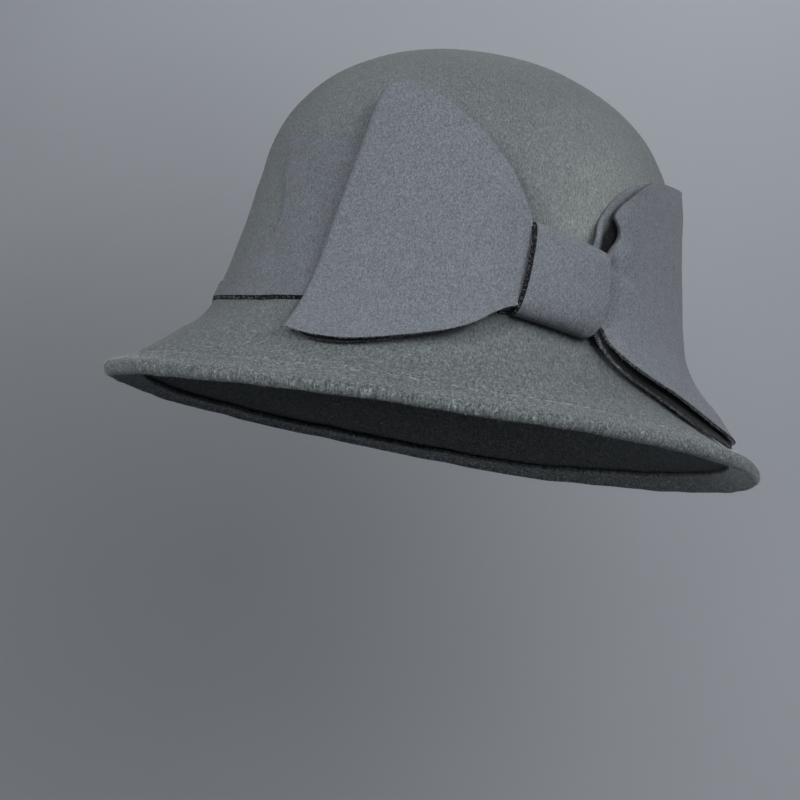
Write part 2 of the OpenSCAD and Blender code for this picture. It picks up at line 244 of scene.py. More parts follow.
class Nodes:
    def __init__(self, name):
        self.mat = bpy.data.materials.new(name)
        self.mat.use_nodes = True
        self.t = self.mat.node_tree
        self.t.nodes.clear()
        self.out = self.t.nodes.new("ShaderNodeOutputMaterial")
        self.bsdf = self.t.nodes.new("ShaderNodeBsdfPrincipled")
        self.link(self.bsdf.outputs["BSDF"], self.out.inputs["Surface"])

    def new(self, kind, **kw):
        n = self.t.nodes.new(kind)
        for k, v in kw.items():
            setattr(n, k, v)
        return n

    def link(self, a, b):
        self.t.links.new(a, b)

    def coords(self, scale=(1, 1, 1), rot=(0, 0, 0)):
        tc = self.new("ShaderNodeTexCoord")
        mp = self.new("ShaderNodeMapping")
        mp.inputs["Scale"].default_value = scale
        mp.inputs["Rotation"].default_value = rot
        self.link(tc.outputs["Object"], mp.inputs["Vector"])
        return mp.outputs["Vector"]

    def noise(self, vec, scale, detail=3.0, rough=0.55, distortion=0.0):
        n = self.new("ShaderNodeTexNoise")
        n.inputs["Scale"].default_value = scale
        n.inputs["Detail"].default_value = detail
        n.inputs["Roughness"].default_value = rough
        n.inputs["Distortion"].default_value = distortion
        self.link(vec, n.inputs["Vector"])
        return n.outputs["Fac"]

    def math(self, op, a, b=None, clamp=False):
        n = self.new("ShaderNodeMath", operation=op, use_clamp=clamp)
        for i, v in enumerate((a, b)):
            if v is None:
                continue
            if isinstance(v, (int, float)):
                n.inputs[i].default_value = v
            else:
                self.link(v, n.inputs[i])
        return n.outputs[0]

    def ramp(self, fac, stops):
        n = self.new("ShaderNodeValToRGB")
        cr = n.color_ramp
        while len(cr.elements) < len(stops):
            cr.elements.new(0.5)
        for e, (p, c) in zip(cr.elements, stops):
            e.position = p
            e.color = c
        self.link(fac, n.inputs["Fac"])
        return n.outputs["Color"]

    def mix(self, kind, fac, a, b):
        n = self.new("ShaderNodeMix", data_type="RGBA", blend_type=kind)
        for sock, v in ((n.inputs["Factor"], fac), (n.inputs["A"], a), (n.inputs["B"], b)):
            if isinstance(v, (int, float)):
                sock.default_value = v
            elif isinstance(v, tuple):
                sock.default_value = v
            else:
                self.link(v, sock)
        return n.outputs["Result"]

    def bump(self, height, strength, distance, normal=None):
        n = self.new("ShaderNodeBump")
        n.inputs["Strength"].default_value = strength
        n.inputs["Distance"].default_value = distance
        self.link(height, n.inputs["Height"])
        if normal is not None:
            self.link(normal, n.inputs["Normal"])
        return n.outputs["Normal"]


def lay_coords(s, stretch):
    """Coordinates that follow the hat's slope: round it across, down it along, so that the nap lies downhill."""
    tc = s.new("ShaderNodeTexCoord")
    sep = s.new("ShaderNodeSeparateXYZ")
    s.link(tc.outputs["Object"], sep.inputs["Vector"])
    x, y, z = sep.outputs["X"], sep.outputs["Y"], sep.outputs["Z"]
    r = s.math("SQRT", s.math("ADD", s.math("MULTIPLY", x, x), s.math("MULTIPLY", y, y)))
    k = s.math("DIVIDE", 0.1, s.math("MAXIMUM", r, 0.03))
    v = s.math("MULTIPLY", s.math("SUBTRACT", z, r), stretch)
    com = s.new("ShaderNodeCombineXYZ")
    for sock, val in zip(com.inputs, (s.math("MULTIPLY", x, k), s.math("MULTIPLY", y, k), v)):
        s.link(val, sock)
    return com.outputs["Vector"]


def felt_material(name, dark, mid, light, fibre, grain=1000.0, nap=1500.0, stretch=0.3, share=0.5, sheen=0.1,
                  blotch=0.05, bump=0.0007, hairs=0.3, painted_light_patch=None, coarse=None):
    """Wool felt: a crisp matted grain, a nap of short strokes, stray pale fibres and faint clouds of colour."""
    s = Nodes(name)
    flat = s.coords((1, 1, 1), (0.31, 0.17, 0.47))
    g = s.noise(flat, grain, 2.0, 0.6, 0.4)
    n = s.noise(lay_coords(s, stretch), nap, 2.0, 0.55, 0.7)
    h = s.math("ADD", s.math("MULTIPLY", g, 1 - share), s.math("MULTIPLY", n, share))
    mottle = s.noise(flat, 190.0, 2.0, 0.5)
    cloud = s.noise(flat, 24.0, 2.0, 0.5)
    col = s.ramp(h, [(0.36, dark), (0.5, mid), (0.64, light)])
    if coarse:                                                    # a rougher nap low on the brim
        low = s.new("ShaderNodeSeparateXYZ")
        s.link(s.new("ShaderNodeTexCoord").outputs["Object"], low.inputs[0])
        low = s.ramp(low.outputs["Z"], [(0.004, (1,) * 4), (0.018, (0.75, 0.75, 0.75, 1)), (0.045, (0, 0, 0, 1))])
        g2 = s.noise(flat, coarse[0], 2.0, 0.6, 0.6)
        g2 = s.math("ADD", s.math("MULTIPLY", g2, 0.55), s.math("MULTIPLY", n, 0.45))
        col = s.mix("MIX", low, col, s.ramp(g2, [(0.36, coarse[1]), (0.48, coarse[2]), (0.58, coarse[3]), (0.68, coarse[4])]))
        h = s.math("ADD", h, s.math("MULTIPLY", s.math("MULTIPLY", s.math("SUBTRACT", g2, 0.5), low), 0.9))
    col = s.mix("MULTIPLY", 1.0, col, s.ramp(mottle, [(0.3, (0.93,) * 3 + (1,)), (0.7, (1.0,) * 3 + (1,))]))
    col = s.mix("MULTIPLY", 1.0, col, s.ramp(cloud, [(0.3, (1 - blotch,) * 3 + (1,)), (0.7, (1.0,) * 3 + (1,))]))
    line = s.math("ABSOLUTE", s.math("SUBTRACT", s.noise(s.coords((1, 1, 1), (1.1, 0.6, 0.2)), 300.0, 1.0, 0.5, 2.0), 0.5))
    line = s.ramp(line, [(0.0, (1, 1, 1, 1)), (0.022, (0, 0, 0, 1))])
    gate = s.ramp(s.noise(flat, 420.0, 0.0), [(0.5, (0, 0, 0, 1)), (0.6, (1, 1, 1, 1))])
    line = s.math("MULTIPLY", s.math("MULTIPLY", line, gate), hairs)
    col = s.mix("MIX", line, col, fibre)
    if painted_light_patch:                                                   # painted light: round one point the colour is lightened, standing in for light and sheen on the crown there
        far = s.new("ShaderNodeVectorMath")
        far.operation = "DISTANCE"
        s.link(s.new("ShaderNodeTexCoord").outputs["Object"], far.inputs[0])
        far.inputs[1].default_value = painted_light_patch[0]
        gain = s.ramp(s.math("DIVIDE", far.outputs["Value"], painted_light_patch[1]),
                      [(0.0, (1,) * 4), (0.35, (0.65, 0.65, 0.65, 1)), (0.6, (0.32, 0.32, 0.32, 1)), (1.0, (0, 0, 0, 1))])
        col = s.mix("MIX", gain, col, s.mix("MULTIPLY", 1.0, col, painted_light_patch[2]))
    # painted light: where the pale attribute is set, the colour is lightened
    hem_underlight = s.new("ShaderNodeAttribute")
    hem_underlight.attribute_name = "pale"
    col = s.mix("MIX", hem_underlight.outputs["Fac"], col, s.mix("MULTIPLY", 1.0, col, (2.35, 2.2, 2.15, 1)))
    # painted shade: the shade attribute darkens the colour towards near-black
    painted_shade_node = s.new("ShaderNodeAttribute")
    painted_shade_node.attribute_name = "shade"
    col = s.mix("MIX", painted_shade_node.outputs["Fac"], col, (0.0035, 0.004, 0.0048, 1))
    s.link(col, s.bsdf.inputs["Base Color"])
    s.link(s.ramp(h, [(0.35, (0.98,) * 3 + (1,)), (0.65, (0.84,) * 3 + (1,))]), s.bsdf.inputs["Roughness"])
    b = s.bump(mottle, 0.35, 0.0009)
    b = s.bump(s.math("ADD", h, s.math("MULTIPLY", line, 0.12)), 1.0, bump, b)
    s.link(b, s.bsdf.inputs["Normal"])
    s.bsdf.inputs["Specular IOR Level"].default_value = 0.12
    s.bsdf.inputs["Sheen Weight"].default_value = sheen
    s.bsdf.inputs["Sheen Roughness"].default_value = 0.5
    s.bsdf.inputs["Sheen Tint"].default_value = (0.88, 0.9, 0.92, 1)
    return s.mat


def cut_material(name, core, fibre, grain=1300.0):
    """A cut edge of felt: a core colour with darker specks and pale fibre ends. Where the core is set darker than the
    felt's face, that is painted shade on the narrow edge.
    """
    s = Nodes(name)
    g = s.noise(s.coords((1, 1, 1), (0.2, 0.9, 0.4)), grain, 2.0, 0.6, 0.5)
    e = s.noise(s.coords((1, 1, 1), (0.7, 0.1, 0.9)), grain * 0.45, 2.0, 0.6)
    h = s.math("ADD", s.math("MULTIPLY", g, 0.6), s.math("MULTIPLY", e, 0.4))
    dark = tuple(0.55 * c for c in core[:3]) + (1,)
    s.link(s.ramp(h, [(0.36, dark), (0.5, core), (0.56, core), (0.68, fibre)]), s.bsdf.inputs["Base Color"])
    s.link(s.ramp(h, [(0.4, (0.98,) * 3 + (1,)), (0.66, (0.82,) * 3 + (1,))]), s.bsdf.inputs["Roughness"])
    s.link(s.bump(h, 1.0, 0.0008), s.bsdf.inputs["Normal"])
    s.bsdf.inputs["Specular IOR Level"].default_value = 0.1
    return s.mat


def thread_material(name, dark, light):
    s = Nodes(name)
    v = s.coords((1, 1, 1), (0.4, 0.2, 0.7))
    twist = s.noise(v, 2600.0, 2.0, 0.5, 0.4)
    col = s.ramp(twist, [(0.3, dark), (0.7, light)])
    s.link(col, s.bsdf.inputs["Base Color"])
    s.link(s.ramp(twist, [(0.3, (0.6,) * 3 + (1,)), (0.7, (0.85,) * 3 + (1,))]), s.bsdf.inputs["Roughness"])
    s.link(s.bump(twist, 0.4, 0.0002), s.bsdf.inputs["Normal"])
    s.bsdf.inputs["Sheen Weight"].default_value = 0.2
    return s.mat


def ribbon_material(name, dark, light):
    """Grosgrain: close ribs across the ribbon, so they run up and down here."""
    s = Nodes(name)
    tc = s.new("ShaderNodeTexCoord")
    sep = s.new("ShaderNodeSeparateXYZ")
    s.link(tc.outputs["Object"], sep.inputs["Vector"])
    ang = s.math("ARCTAN2", sep.outputs["X"], sep.outputs["Y"])
    rib = s.math("SINE", s.math("MULTIPLY", ang, 520.0))
    rib = s.math("ADD", s.math("MULTIPLY", rib, 0.5), 0.5)
    grain = s.noise(s.coords(), 900.0, 3.0)
    h = s.math("ADD", s.math("MULTIPLY", rib, 0.7), s.math("MULTIPLY", grain, 0.3))
    s.link(s.ramp(h, [(0.2, dark), (0.8, light)]), s.bsdf.inputs["Base Color"])
    s.link(s.ramp(grain, [(0.3, (0.55,) * 3 + (1,)), (0.7, (0.75,) * 3 + (1,))]), s.bsdf.inputs["Roughness"])
    s.link(s.bump(h, 0.6, 0.0004), s.bsdf.inputs["Normal"])
    s.bsdf.inputs["Sheen Weight"].default_value = 0.15
    return s.mat


def metal_material(name, dark, light, rough):
    s = Nodes(name)
    v = s.coords((1, 1, 14))
    n = s.noise(v, 700.0, 4.0, 0.6)
    s.link(s.ramp(n, [(0.3, dark), (0.7, light)]), s.bsdf.inputs["Base Color"])
    s.link(s.ramp(n, [(0.3, (rough,) * 3 + (1,)), (0.7, (rough + 0.18,) * 3 + (1,))]), s.bsdf.inputs["Roughness"])
    s.link(s.bump(n, 0.15, 0.0001), s.bsdf.inputs["Normal"])
    s.bsdf.inputs["Metallic"].default_value = 1.0
    return s.mat


# painted light: BODY_FELT's colour is lightened in a patch on the crown's right side, beside the bow
BODY_FELT = felt_material("body_felt", srgb(82, 86, 88), srgb(101, 106, 108), srgb(121, 127, 129), srgb(146, 151, 151),
                          grain=1500.0, nap=1900.0, stretch=0.28, share=0.55, sheen=0.1, blotch=0.06, bump=0.0006,
                          painted_light_patch=((0.0726, -0.0433, 0.085), 0.055, (1.62, 1.58, 1.5, 1)),
                          coarse=(900.0, srgb(58, 62, 64), srgb(92, 97, 99), srgb(115, 121, 122), srgb(158, 164, 162)))
TRIM_FELT = felt_material("trim_felt", srgb(86, 90, 96), srgb(106, 110, 116), srgb(127, 131, 138), srgb(148, 153, 160),
                          grain=1650.0, nap=2000.0, stretch=0.4, share=0.45, sheen=0.08, blotch=0.05, bump=0.00042, hairs=0.18)
TRIM_CUT = cut_material("trim_cut_edge", srgb(78, 82, 88), srgb(222, 226, 232))
# painted shade: the knot's and the band's cut edges take a near-black core for the shade in the gaps beside them
SHADED_CUT = cut_material("shaded_cut_edge", srgb(25, 27, 30), srgb(108, 112, 118))
FAN_CUT = cut_material("fan_cut_edge", srgb(128, 132, 138), srgb(205, 209, 215))
BODY_FIBRE = thread_material("body_fibre", srgb(128, 134, 132), srgb(180, 186, 181))
TRIM_FIBRE = thread_material("trim_fibre", srgb(145, 149, 155), srgb(200, 204, 209))
HEM_THREAD = thread_material("hem_thread", srgb(112, 117, 118), srgb(158, 163, 162))
DARK_THREAD = thread_material("dark_thread", srgb(40, 42, 46), srgb(78, 82, 88))
RIBBON = ribbon_material("sweat_ribbon", srgb(22, 23, 26), srgb(48, 50, 55))
WIRE = metal_material("spring_wire", srgb(140, 140, 138), srgb(190, 190, 188), 0.3)
SLEEVE = metal_material("crimp_sleeve", srgb(150, 130, 84), srgb(196, 176, 120), 0.3)

for node_name, mat in (("brim_wire", WIRE), ("wire_joiner", SLEEVE)):
    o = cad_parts[node_name]
    o.data.materials.clear()
    o.data.materials.append(mat)


def finish_piece(ob, nodes):
    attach(ob, "root")
    if nodes:
        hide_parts(*nodes)
    return ob


# =====================================================================================================
# The felt body
# =====================================================================================================
N_STITCH = 100
N_AZ = 300


HEM_LINE = [(-180, 9.4), (-140, 8.8), (-105, 8.7), (-84, 9.2), (-66, 11.4), (-50, 12.5), (0, HEM_Z), (60, HEM_Z), (92, 10.6), (135, 10.6),
            (180, 9.4)]


def hem_z(a):
    """Height of the hem's raw edge: the hem is turned up deeper in front than at the back."""
    a = np.mod(np.asarray(a, float) + 180, 360) - 180
    return curve(HEM_LINE, a)


def stitch_z(a):
    return hem_z(a) - 0.6


def outer_line(step, fine=None):
    """Points down the felt's outer face, top to edge, about step apart."""
    z = np.concatenate([np.linspace(EDGE_E[1], 146, 2800)])
    r = felt(z)
    top = np.linspace(29.4, 0, 60)[1:]
    r = np.concatenate([r, top])
    z = np.concatenate([z, 149.6 - (149.6 - 146.0) * (top / 29.4) ** 2])
    s = np.concatenate([[0], np.cumsum(np.hypot(np.diff(r), np.diff(z)))])
    # round off the joint between the two formulas
    ss = np.linspace(0, s[-1], 3000)
    R, Z = np.interp(ss, s, r), np.interp(ss, s, z)
    k = np.exp(-np.linspace(-2.2, 2.2, 61) ** 2)
    k /= k.sum()
    mask = ease((Z - 138) / 5.0)
    Rs = np.convolve(np.concatenate([R, -R[::-1][1:31]])[:], k, "same")[:len(R)]
    Zs = np.convolve(np.concatenate([Z, Z[::-1][1:31]]), k, "same")[:len(Z)]
    R, Z = R + (Rs - R) * mask, Z + (Zs - Z) * mask
    R[-1] = 0.0
    marks = [0.0]
    while marks[-1] < ss[-1]:
        st = step
        if fine and abs(marks[-1] - fine[0]) < fine[1]:
            st = fine[2]
        marks.append(marks[-1] + st)
    marks = np.array(marks)
    marks *= ss[-1] / marks[-1]
    return np.interp(marks, ss, R), np.interp(marks, ss, Z), marks


def normals2(r, z):
    d = np.stack([np.gradient(r), np.gradient(z)], -1)
    d /= np.linalg.norm(d, axis=1)[:, None]
    return np.stack([d[:, 1], -d[:, 0]], -1)


def body_rows(az):
    """Lines round the felt's section, one for each azimuth: outer face, rolled edge, hem, inner face."""
    r, z, s = outer_line(1.7, (11.0, 6.0, 0.45))
    n = normals2(r, z)
    n[-1] = (0, 1)
    outer = np.stack([r, z], -1)
    c = np.array([BRIM_R, EDGE_Z])
    b = np.radians(np.linspace(0, 180, 19)[1:-1])
    edge = c + EDGE_R * (np.cos(b)[:, None] * EDGE_N + np.sin(b)[:, None] * EDGE_D)
    b = np.radians(np.linspace(180, 0, 9)[1:-1])
    tunnel = c + HOLLOW_R * (np.cos(b)[:, None] * EDGE_N + np.sin(b)[:, None] * EDGE_D)
    r2, z2, _ = outer_line(3.0)
    n2 = normals2(r2, z2)
    n2[-1] = (0, 1)
    inner = np.stack([r2, z2], -1) - n2 * FELT_T
    inner[-1, 0] = 0
    rows = []
    for a in az:
        top = float(hem_z(a))
        zs = top - 0.6
        line = float(np.hypot(felt(zs) - EDGE_E[0], zs - EDGE_E[1])) * 1.01
        groove = 0.24 * np.exp(-((s - line) / 0.95) ** 2) - 0.10 * np.exp(-((np.abs(s - line) - 2.6) / 1.3) ** 2)
        part = [(outer - n * groove[:, None])[::-1], edge]
        hz = np.linspace(EDGE_E[1], top, 14)
        space = HEM_GAP + (2 * HOLLOW_R - HEM_GAP) * ((top - hz) / (top - EDGE_E[1])) ** 2
        P = np.stack([felt(hz), hz], -1)
        N = felt_n(hz)
        low = P - N * (2 * FELT_T + space)[:, None]
        high = P - N * (FELT_T + space)[:, None]
        part.append(low[:-1])
        d = (low[-1] - low[-2]) / np.linalg.norm(low[-1] - low[-2])
        mid, half = (low[-1] + high[-1]) / 2, (high[-1] - low[-1]) / 2
        part.append(np.array([mid + half * math.sin(k) + d * 0.5 * math.cos(k) for k in np.radians([-70, -40, 0, 40, 70])]))
        part += [high[::-1][1:], tunnel, inner]
        rows.append(np.concatenate(part))
    return np.array(rows), len(inner)


def make_body():
    az = np.arange(N_AZ) * 360.0 / N_AZ
    prof, n_in = body_rows(az)
    m = prof.shape[1]
    ring = at(prof[:, 1:-1, 0].T, prof[:, 1:-1, 1].T, az[None, :])
    V = np.concatenate([at(0, prof[0, 0, 1], 0)[None], at(0, prof[0, -1, 1], 0)[None], ring.reshape(-1, 3)])
    F = []
    last = m - 3

    def v(k, i):
        return 2 + k * N_AZ + i % N_AZ
    for i in range(N_AZ):
        F.append((0, v(0, i), v(0, i + 1)))
        F.append((1, v(last, i + 1), v(last, i)))
    for k in range(last):
        for i in range(N_AZ):
            F.append((v(k, i), v(k + 1, i), v(k + 1, i + 1), v(k, i + 1)))
    ob = new_object("felt_hat_body", hand(V), F, BODY_FELT)
    painted_shade = np.zeros((m - 2, N_AZ))
    deep = prof[:, 1:-1, 1].T[1 - n_in:]
    painted_shade[1 - n_in:] = 0.6 - 0.4 * np.clip((deep - 40) / 25, 0, 1)  # painted shade: the inner face is darkened, most of all under the brim
    shade = ob.data.attributes.new("shade", "FLOAT", "POINT")
    painted_shade = np.concatenate([[0, 0.2], painted_shade.ravel()])
    shade.data.foreach_set("value", painted_shade)
    fix_normals(ob)
    co, no = (np.empty(3 * len(painted_shade)) for _ in range(2))
    ob.data.vertices.foreach_get("co", co)
    ob.data.vertices.foreach_get("normal", no)
    co, no = co.reshape(-1, 3), no.reshape(-1, 3)
    # painted light: the downward-facing turned-under hem at the wearer's left is painted paler, as if lit from below
    hem_underlight = np.exp(-((co[:, 0] - 0.116) ** 2 + (co[:, 1] - 0.028) ** 2) / 0.055 ** 2)
    hem_underlight = hem_underlight * np.clip((-no[:, 2] - 0.15) / 0.5, 0, 1) * (co[:, 2] < 0.0095) * (painted_shade == 0)
    pale = ob.data.attributes.new("pale", "FLOAT", "POINT")
    pale.data.foreach_set("value", hem_underlight)
    return finish_piece(ob, ["felt_body"])


BODY = make_body()


# =====================================================================================================
# Stitches
# =====================================================================================================
def hem_pt(z, d):
    return np.stack([felt(z), np.asarray(z, float)], -1) - felt_n(np.asarray(z, float)) * d


def make_hem_stitches():
    paths = []
    step = 360.0 / N_STITCH
    for i in range(N_STITCH):
        a0 = i * step + RNG.uniform(-0.15, 0.15)
        ln = step * RNG.uniform(0.56, 0.76)
        zz = float(stitch_z(a0)) + RNG.uniform(-0.12, 0.12)
        tilt = RNG.uniform(-0.25, 0.25)
        deep = RNG.uniform(0.20, 0.36)
        pts = []
        for u in np.linspace(0, 1, 11):
            p = hem_pt(zz + tilt * (u - 0.5), deep + 0.5 * (2 * u - 1) ** 4)      # in the groove, diving in at both ends
            pts.append(at(p[0], p[1], a0 + ln * u))
        paths.append(hand(np.array(pts)))
    V, F = tubes(paths, 0.2)
    ob = new_object("hem_stitches", V, F, HEM_THREAD)
    fix_normals(ob)
    return finish_piece(ob, ["hem_stitching"])


make_hem_stitches()

# =====================================================================================================
# The band with its fan
# =====================================================================================================
FAN = [(-60, 38.2, -60, 44.8), (-52, 37.7, -52, 44.4), (-44.5, 37.1, -44.5, 44.2), (-39, 36.7, -39.3, 48.3),
       (-33, 36.5, -33.4, 55.6), (-28.5, 36.4, -29.4, 62.4), (-24.5, 36.5, -28.2, 67.5), (-20, 37, -28.8, 73),
       (-16.5, 37.2, -31.2, 80.5), (-13, 37.4, -35.2, 94.5), (-10, 37.6, -37.9, 101.6), (-6, 37.9, -30, 100.8),
       (0, 38.4, -20, 99.8), (7, 39, -6, 98.4), (13, 39.6, 5, 97), (20, 40.6, 16, 94), (27, 41.6, 25, 86),
       (33, 42.5, 32, 72), (38, 43, 38, 58), (44, 43, 44, 52), (54, 42, 54, 51), (64, 40, 64, 48.5),
       (72, 38.6, 72, 47.2), (80, 37.6, 80, 46.2), (87, 37, 87, 45.5), (95, 36.5, 95, 45), (102, 36.2, 102, 44.7),
       (110, 36, 110, 44.5)]


def band_rows():
    f = np.array(FAN, float)
    k = np.arange(len(f))
    # the fan's upper corner stays sharp: the curve is made in two runs that meet there
    c = 10
    rows = []
    for lo, hi in ((0, c), (c, len(f) - 1)):
        x = np.arange(lo, hi + 1e-6, 0.125)
        seg = np.stack([curve(np.stack([k[lo:hi + 1], f[lo:hi + 1, q]], -1), x) for q in range(4)], -1)
        rows.append(seg if lo == 0 else seg[1:])
    rows = np.concatenate(rows)
    rest = np.arange(112, 299, 2.0)
    rest = np.stack([rest, 36 + 2.3 * np.exp(-((rest - 296) / 34) ** 2), rest, 44.5 + 0.3 * np.exp(-((rest - 296) / 34) ** 2)], -1)
    return np.concatenate([rows, rest])


def make_band():
    rows = band_rows()
    us = np.concatenate([[0, 0.008], np.linspace(0.02, 0.98, 26), [0.992, 1]])
    A, B = [], []
    for tb, zb, tt, zt in rows:
        z = zb + (zt - zb) * us
        a = tb + (tt - tb) * us
        thick = TRIM_T - 1.1 * ease((z - 40) / 22.0)              # pressed thin where the fan lies on the crown
        thick = thick * (1 - 0.8 * np.exp(-((np.mod(a + 68 + 180, 360) - 180) / 24.0) ** 2))
        rip = 0.08 * np.sin(a / 3.1 + z / 7.0) * ease((zt - z) / 6.0)
        up, lo = z + 0.65 * (1 - us) ** 3, z - 0.8 * (1 - us) ** 3        # the lower edge is cut at a slant
        A.append(at(felt(up) + BAND_GAP + thick + rip, up, a))
        B.append(at(felt(lo) + BAND_GAP, lo, a))
    V, F, K = sheet_mesh(hand(np.array(A)), hand(np.array(B)), True, (1, 2, 0, 0))
    ob = new_object("hat_band_felt", V, F, [TRIM_FELT, SHADED_CUT, FAN_CUT], K)
    shade = ob.data.attributes.new("shade", "FLOAT", "POINT")     # painted shade: the whole band is darkened a little, for the shade the fan lies in under the bow
    shade.data.foreach_set("value", np.full(len(ob.data.vertices), 0.1))
    fix_normals(ob)
    bevel(ob, 0.0004, 3, 55)
    apply_all(ob)
    finish_piece(ob, ["hat_band"])
    return ob


make_band()


def make_band_tacks():
    paths = []
    for a in range(125, 276, 25):
        pts = []
        for u in np.linspace(0, 1, 7):
            z = 41.4 + 2.4 * u
            h = BAND_GAP + TRIM_T + 0.12 - 0.5 * (2 * u - 1) ** 6
            pts.append(at(felt(z) + h, z, a + 0.25 * u))
        paths.append(hand(np.array(pts)))
    V, F = tubes(paths, 0.24)
    ob = new_object("band_tack_threads", V, F, DARK_THREAD)
    fix_normals(ob)
    return finish_piece(ob, ["band_tacks"])


make_band_tacks()

# =====================================================================================================
# The bow
# =====================================================================================================
FRONT_TOP = [(0, 70.4), (.165, 70.8), (.185, 71.6), (.2, 77.5), (.215, 80.5), (.235, 83.8), (.27, 88.8), (.33, 95.6), (.39, 100.6),
             (.46, 105.8), (.54, 110.3), (.64, 114.8), (.75, 118.6), (.87, 121.1), (.925, 121.6), (.96, 121.0), (.985, 119.4), (1, 117.4)]
FRONT_LOOP = dict(
    side=-1, top=FRONT_TOP, top2=FRONT_TOP,
    bot=[(0, 47.6), (.165, 47.2), (.19, 46), (.24, 44), (.29, 41), (.34, 37.2), (.41, 33.5), (.48, 31), (.56, 28.6),
         (.67, 25.6), (.77, 23.7), (.86, 23.2), (.93, 23.8), (1, 25)],
    bot2=[(0, 47.6), (.165, 47.2), (.19, 46.2), (.24, 45), (.29, 42.6), (.34, 39), (.41, 34.9), (.48, 31.7), (.56, 28.6),
          (.67, 24.8), (.77, 22.5), (.86, 21.8), (.93, 22.6), (1, 25)],
    curl=None, fb=60.0, ft=52.0, pf=4, pb=9,
    hf=[(0, 8.9), (.16, 8.9), (.2, 8.9), (.3, 9.2), (.5, 8.6), (.75, 8.2), (1, 8.4)],
    hfb=[(0, 0), (.2, 0), (.35, -1), (.6, -3.4), (1, -4.2)], hft=[(0, 0), (.2, 0), (.6, .5), (1, 2)],
    hb=[(0, 4.7), (.19, 4.7), (.3, 3.6), (.5, 2.8), (1, 2.8)], hbb=[(0, 0), (.2, 0), (.35, -1.2), (.6, -4), (1, -4.5)],
    hbt=[(0, 0), (1, 0)], hm=[(0, 0), (1, 0)], seed=1.0, crease=None)
REAR_LOOP = dict(
    side=1,
    top=[(0, 67.6), (.17, 67.8), (.2, 68.2), (.215, 76), (.235, 84.5), (.26, 90), (.3, 94), (.37, 98.6), (.45, 102),
         (.52, 104), (.62, 105.3), (.72, 106), (.9, 107), (1, 107.3)],
    bot=[(0, 44.6), (.2, 44.4), (.235, 43.6), (.26, 40.7), (.3, 37.0), (.36, 33.3), (.43, 30.5), (.51, 28.4), (.62, 26.2),
         (.72, 23.4), (.81, 20.3), (.89, 17.6), (1, 14.4)],
    top2=[(0, 67.6), (.13, 67.8), (.145, 69.5), (.158, 74), (.18, 78.5), (.215, 84), (.255, 88.4), (.305, 92.7), (.37, 97), (.45, 100.8),
          (.52, 103.2), (.62, 105), (.72, 106), (.9, 107), (1, 107.3)],
    bot2=[(0, 44.6), (.15, 44.4), (.18, 42), (.21, 39.2), (.26, 35.6), (.32, 32.4), (.4, 29.0), (.5, 26.0), (.62, 22.8),
          (.72, 19.4), (.81, 16.2), (.89, 13.4), (1, 10.4)],
    curl=[(60, 0), (69, 0), (71, .4), (74.8, 2.6), (78, 4.7), (80.2, 5.4), (82.5, 4.6), (84.9, 2.4), (86.4, .6), (88, .4), (91, .9),
          (96, 1.5), (101, 1.6), (104, .8), (106, 0), (130, 0)],
    fb=46.5, ft=49.5, pf=3, pb=6,
    hf=[(0, 8.9), (.17, 8.9), (.2, 8.7), (.235, 8.1), (.27, 8.2), (.33, 8.9), (.4, 8.8), (.6, 7.2), (.8, 6.2), (1, 5.8)],
    hfb=[(0, 0), (.25, 0), (.5, 0), (.8, -.6), (1, -1)], hft=[(0, 0), (.2, 0), (.24, 1.0), (.31, 2.2), (.42, 1.6), (.6, .3), (1, .3)],
    hbt=[(0, 0), (.18, 0), (.23, -1.7), (.42, -1.7), (.7, -.6), (1, 0)],
    hb=[(0, 4.7), (.172, 4.7), (.21, 3.6), (.3, 2.9), (.5, 2.6), (.8, 2.3), (1, 2.3)], hbb=[(0, 0), (.2, 0), (.3, -1.8), (.5, -3.6), (.8, -3.8), (1, -3.0)],
    hm=[(0, 0), (.3, 0), (.6, .5), (.85, 2.0), (1, 3.1)], seed=2.0, crease=(.245, .55, .46, .44, 2.0))


